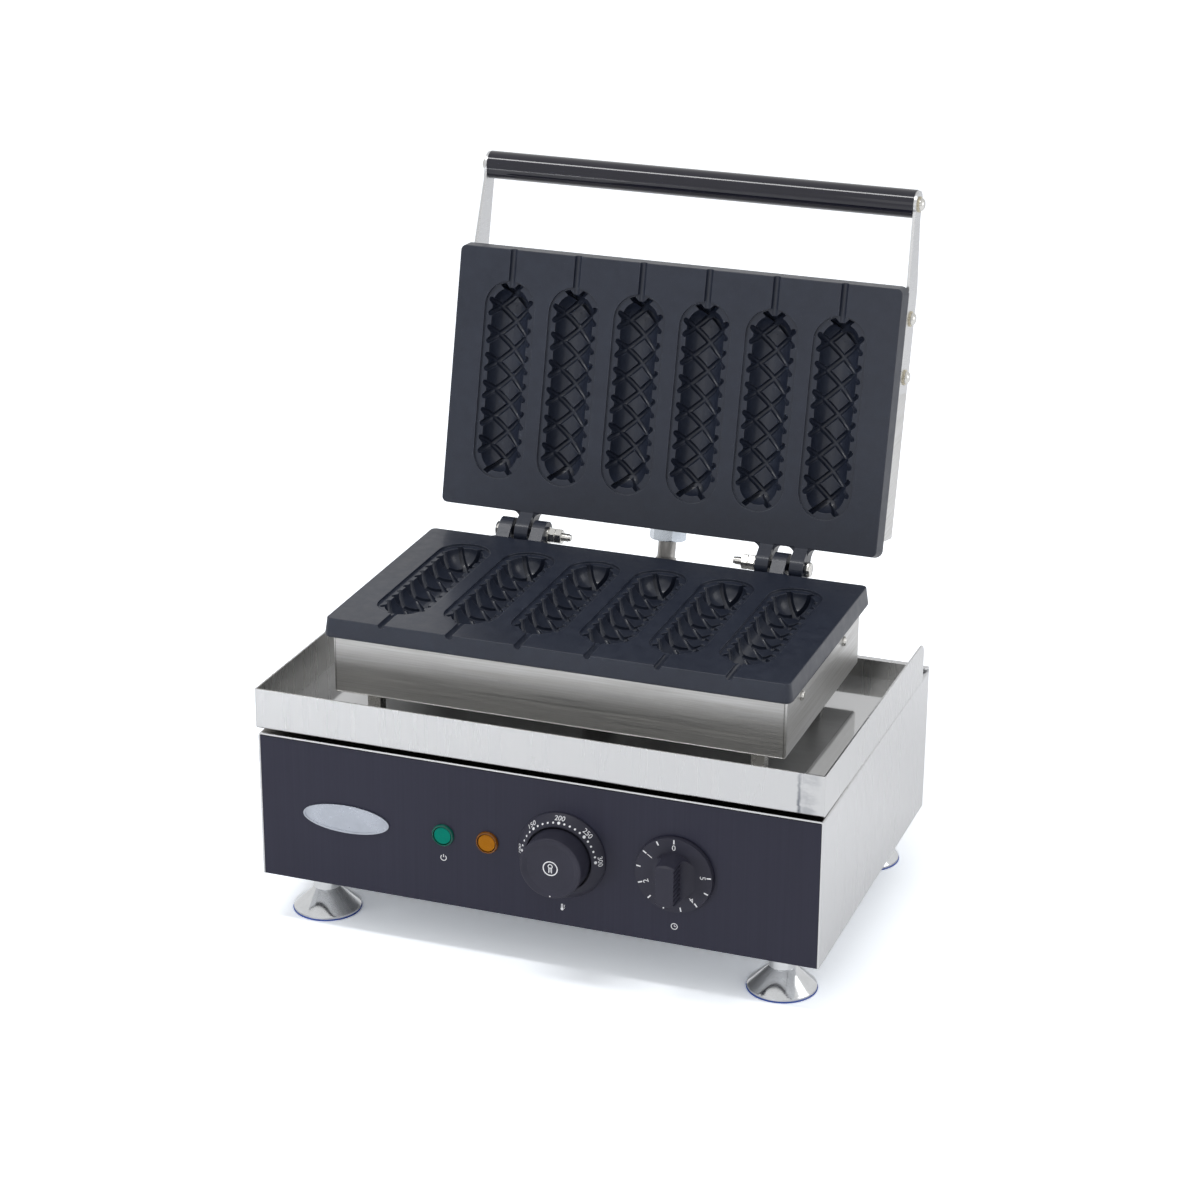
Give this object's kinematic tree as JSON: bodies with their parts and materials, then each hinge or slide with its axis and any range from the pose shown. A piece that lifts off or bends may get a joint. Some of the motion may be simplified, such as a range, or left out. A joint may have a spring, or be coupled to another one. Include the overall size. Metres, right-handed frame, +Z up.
{
  "type": "corn dog maker",
  "caption": "Countertop corn dog maker: hinged cast plates with lattice cavities on a steel box with a drip tray, dial thermostat and timer.",
  "frame": {"origin": "on the worktop under the base box, midway between its left and right sides and midway between its front face and its rear face", "axes": "+X to the right seen from the front, +Y to the rear, +Z up; the lid stands open"},
  "size_m": [0.4008, 0.3643, 0.4711],
  "materials": {
    "stainless_sheet": "satin with a vertical grain",
    "fascia_paint": "dark grey satin paint",
    "badge_metal": "satin, blank",
    "plate_coating": "cast, dark grey non-stick coating",
    "chrome": "bright plated",
    "plated_steel": "bright zinc plated",
    "brass": "plated brass washers",
    "heater_sheath": "heat-darkened tube",
    "insulation_mat": "white mineral fibre mat",
    "green_lens": "clear green",
    "amber_lens": "clear amber",
    "black_plastic": "charcoal, fine texture",
    "white_plastic": "plain",
    "gloss_grip": "polished black",
    "rubber": "plain black",
    "conduit_metal": "bright corrugated"
  },
  "bodies": {
    "base": {"amber_lens": "amber_lens", "badge_plate": "badge_metal", "base_shell": "stainless_sheet", "bottom_plate": "stainless_sheet", "cable_inlet": "black_plastic", "cable_inlet_nut": "black_plastic", "conduit": "conduit_metal", "deck_grommet": "rubber", "drip_tray": "stainless_sheet", "foot_nuts": "plated_steel", "front_fascia": "fascia_paint", "green_lens": "green_lens", "housing_posts": "plated_steel", "lamp_bodies": "black_plastic", "left_hinge_bolt": "plated_steel", "left_hinge_nuts": "plated_steel", "lower_heater": "heater_sheath", "lower_heater_clamp": "plated_steel", "lower_housing": "stainless_sheet", "lower_housing_screws": "plated_steel", "lower_insulation": "insulation_mat", "lower_plate": "plate_coating", "panel_screws": "plated_steel", "post_bolts": "plated_steel", "post_nuts": "plated_steel", "rear_panel": "stainless_sheet", "terminal_block": "white_plastic", "thermostat_body": "black_plastic", "thermostat_dial": "black_plastic", "timer_body": "black_plastic", "tray_spacers": "plated_steel", "wire_sleeve": "plated_steel"},
    "lid": {"upper_heater": "heater_sheath", "upper_heater_clamp": "plated_steel", "upper_housing": "stainless_sheet", "upper_housing_screws": "plated_steel", "upper_insulation": "insulation_mat", "upper_plate": "plate_coating", "left_arm": "stainless_sheet", "right_arm": "stainless_sheet", "handle_grip": "gloss_grip", "handle_screws": "plated_steel", "handle_washers": "brass", "lid_gland": "plated_steel", "lid_locknut": "plated_steel", "right_hinge_bolt": "plated_steel", "right_hinge_nuts": "plated_steel"},
    "temperature_control": {"temperature_knob": "black_plastic", "thermostat_shaft": "plated_steel"},
    "timer_control": {"timer_knob": "black_plastic", "timer_shaft": "plated_steel"},
    "foot_front_left": {"foot_front_left": "chrome"},
    "foot_front_right": {"foot_front_right": "chrome"},
    "foot_rear_left": {"foot_rear_left": "chrome"},
    "foot_rear_right": {"foot_rear_right": "chrome"}
  },
  "joints": [
    {"name": "lid_hinge", "type": "hinge", "parent": "base", "child": "lid", "pos_m": [0, 0.104, 0.21695], "axis": [1, 0, 0], "range_deg": [0, 103.5], "deforming": ["conduit"]},
    {"name": "temperature_turn", "type": "hinge", "parent": "base", "child": "temperature_control", "pos_m": [0.021, -0.1335, 0.0869], "axis": [0, 1, 0], "range_deg": [0, 270]},
    {"name": "timer_turn", "type": "hinge", "parent": "base", "child": "timer_control", "pos_m": [0.1003, -0.1335, 0.0869], "axis": [0, 1, 0], "range_deg": [0, 275]},
    {"name": "foot_front_left_height", "type": "slide", "parent": "base", "child": "foot_front_left", "axis": [0, 0, -1], "range_m": [0, 0.006]},
    {"name": "foot_front_right_height", "type": "slide", "parent": "base", "child": "foot_front_right", "axis": [0, 0, -1], "range_m": [0, 0.006]},
    {"name": "foot_rear_left_height", "type": "slide", "parent": "base", "child": "foot_rear_left", "axis": [0, 0, -1], "range_m": [0, 0.006]},
    {"name": "foot_rear_right_height", "type": "slide", "parent": "base", "child": "foot_rear_right", "axis": [0, 0, -1], "range_m": [0, 0.006]}
  ]
}
